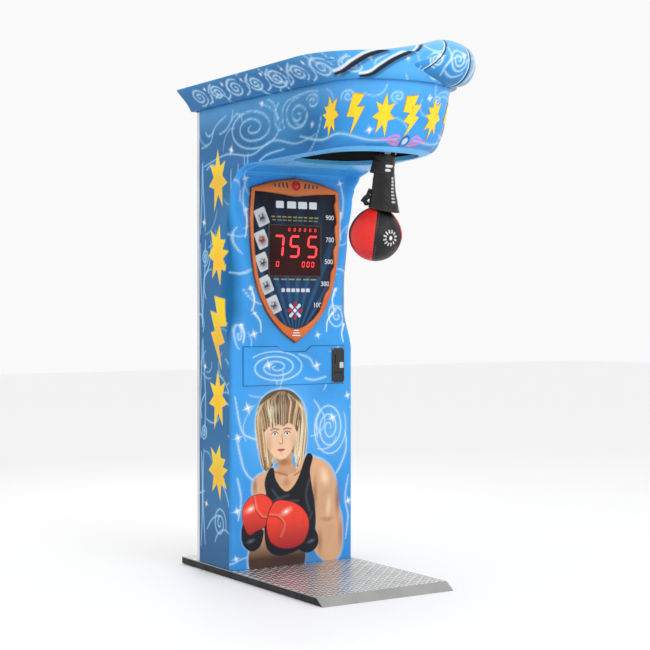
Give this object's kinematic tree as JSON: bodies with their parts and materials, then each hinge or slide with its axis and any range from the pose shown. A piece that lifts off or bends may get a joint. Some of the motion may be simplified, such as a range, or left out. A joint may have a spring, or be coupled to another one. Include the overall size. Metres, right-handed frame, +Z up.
{
  "type": "boxing punch machine",
  "caption": "Free-standing arcade strength tester: a waisted cabinet with a shield-shaped score display, a tread-plate platform and an overhanging head from which a punch ball hangs.",
  "frame": {"origin": "on the floor under the centre of the overall bounding box", "axes": "+Z up, the front with the display faces -Y where the player stands, +X is on the right of a viewer facing the display"},
  "size_m": [0.7436, 1.3959, 2.1542],
  "materials": {
    "black_leather": "black leather",
    "black_paint": "black paint on board",
    "black_plastic": "moulded texture",
    "black_rubber": "matte",
    "black_sheet": "satin black powder coat",
    "blue_gelcoat": "glossy airbrushed blue gelcoat",
    "brass": "polished",
    "circuit_green": "circuit board",
    "copper_bezel": "metallic copper lacquer",
    "copper_wire": "lacquered winding",
    "grey_trim": "satin anodised",
    "navy_panel": "printed gloss panel",
    "red_leather": "glossy red and black leather",
    "red_led": "lit red segments",
    "red_plastic": "gloss",
    "red_window": "smoked red acrylic",
    "steel": "plain steel",
    "tread_aluminium": "bright rolled tread plate",
    "white_plastic": "satin"
  },
  "bodies": {
    "machine": {"back_panel": "black_paint", "base_board": "black_paint", "body_shell": "blue_gelcoat", "button_ring": "copper_bezel", "canopy": "blue_gelcoat", "cash_box": "steel", "cavity_liner": "black_sheet", "coin_chute": "steel", "coin_mechanism": "black_plastic", "coin_plate": "black_plastic", "coin_return_cup": "steel", "control_board": "circuit_green", "display_board": "circuit_green", "display_panel": "navy_panel", "door_hinge_pin": "steel", "frame_tie": "steel", "hatch_panel": "blue_gelcoat", "latch_hanger": "steel", "latch_shaft": "steel", "led_digit_hundreds": "red_led", "led_digit_tens": "red_led", "led_digit_units": "red_led", "led_window": "red_window", "mains_inlet": "black_plastic", "pivot_bearing_left": "steel", "pivot_bearing_right": "steel", "pivot_bracket_left": "steel", "pivot_bracket_right": "steel", "power_supply": "steel", "rear_trim_left": "grey_trim", "rear_trim_right": "grey_trim", "rest_stop": "black_rubber", "rubber_pad_front_left": "black_rubber", "rubber_pad_front_right": "black_rubber", "rubber_pad_rear_left": "black_rubber", "rubber_pad_rear_right": "black_rubber", "shield_bezel": "copper_bezel", "solenoid_body": "copper_wire", "speaker": "black_plastic", "speed_sensor": "black_plastic", "steel_frame_left": "steel", "steel_frame_right": "steel", "tread_plate": "tread_aluminium", "upper_stop": "black_rubber"},
    "ball_arm": {"swing_arm": "steel", "punch_ball": "red_leather", "leather_sleeve": "black_leather", "pivot_axle": "steel", "sensor_disc": "black_plastic", "latch_catch": "steel"},
    "start_button": {"start_button": "red_plastic"},
    "reject_button": {"reject_button": "white_plastic"},
    "return_flap": {"return_flap": "brass"},
    "rear_door": {"rear_door": "black_paint"},
    "door_lock": {"lock_cylinder": "brass", "lock_cam": "steel"},
    "latch": {"latch_lever": "steel"},
    "plunger": {"solenoid_plunger": "steel"},
    "rocker": {"rocker_switch": "red_plastic"}
  },
  "joints": [
    {"name": "ball_swing", "type": "hinge", "parent": "machine", "child": "ball_arm", "pos_m": [0, -0.427, 1.78], "axis": [1, 0, 0], "range_deg": [0, 85]},
    {"name": "start_press", "type": "slide", "parent": "machine", "child": "start_button", "axis": [0, 1, 0], "range_m": [0, 0.0035], "stiffness_N_per_m": 400},
    {"name": "reject_press", "type": "slide", "parent": "machine", "child": "reject_button", "axis": [0, 1, 0], "range_m": [0, 0.003], "stiffness_N_per_m": 400},
    {"name": "flap_turn", "type": "hinge", "parent": "machine", "child": "return_flap", "pos_m": [0.22, 0.2469, 0.8516], "axis": [-1, 0, 0], "range_deg": [0, 75], "stiffness_Nm_per_rad": 0.02},
    {"name": "door_turn", "type": "hinge", "parent": "machine", "child": "rear_door", "pos_m": [-0.2245, 0.5655, 0.8], "axis": [0, 0, 1], "range_deg": [0, 110]},
    {"name": "lock_turn", "type": "hinge", "parent": "rear_door", "child": "door_lock", "pos_m": [0.195, 0.556, 0.8], "axis": [0, -1, 0], "range_deg": [0, 90]},
    {"name": "latch_turn", "type": "hinge", "parent": "machine", "child": "latch", "pos_m": [0.045, -0.352, 1.862], "axis": [-1, 0, 0], "range_deg": [0, 20], "stiffness_Nm_per_rad": 0.3},
    {"name": "plunger_slide", "type": "slide", "parent": "machine", "child": "plunger", "axis": [0, 1, 0], "range_m": [0, 0.0075]},
    {"name": "rocker_turn", "type": "hinge", "parent": "machine", "child": "rocker", "pos_m": [-0.205, 0.5735, 0.1225], "axis": [1, 0, 0], "range_deg": [0, 10]}
  ],
  "couplings": [
    {"joint": "plunger_slide", "follows": "latch_turn", "m_per_rad": 0.021486}
  ]
}
